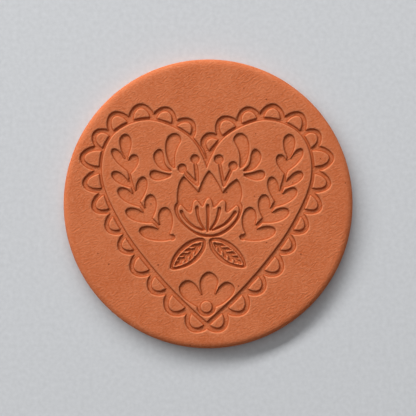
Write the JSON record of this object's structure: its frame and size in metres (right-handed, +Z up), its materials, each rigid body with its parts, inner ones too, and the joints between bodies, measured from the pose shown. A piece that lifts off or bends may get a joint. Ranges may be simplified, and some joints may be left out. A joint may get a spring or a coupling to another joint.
{
  "type": "pressed clay disc",
  "caption": "Flat round disc of matte terracotta clay with a rounded rim and a folk heart of lace, leaves and flowers pressed into its face.",
  "frame": {"origin": "centre of the flat underside", "axes": "+Z up through the thickness, out of the pressed face; +Y towards the lobes of the heart; +X to the right when the heart is seen point down"},
  "size_m": [0.075, 0.075, 0.0033],
  "materials": {
    "clay": "matte baked polymer clay, terracotta orange, with faint slab grain"
  },
  "bodies": {
    "root": {"clay_disc": "clay"}
  },
  "joints": []
}
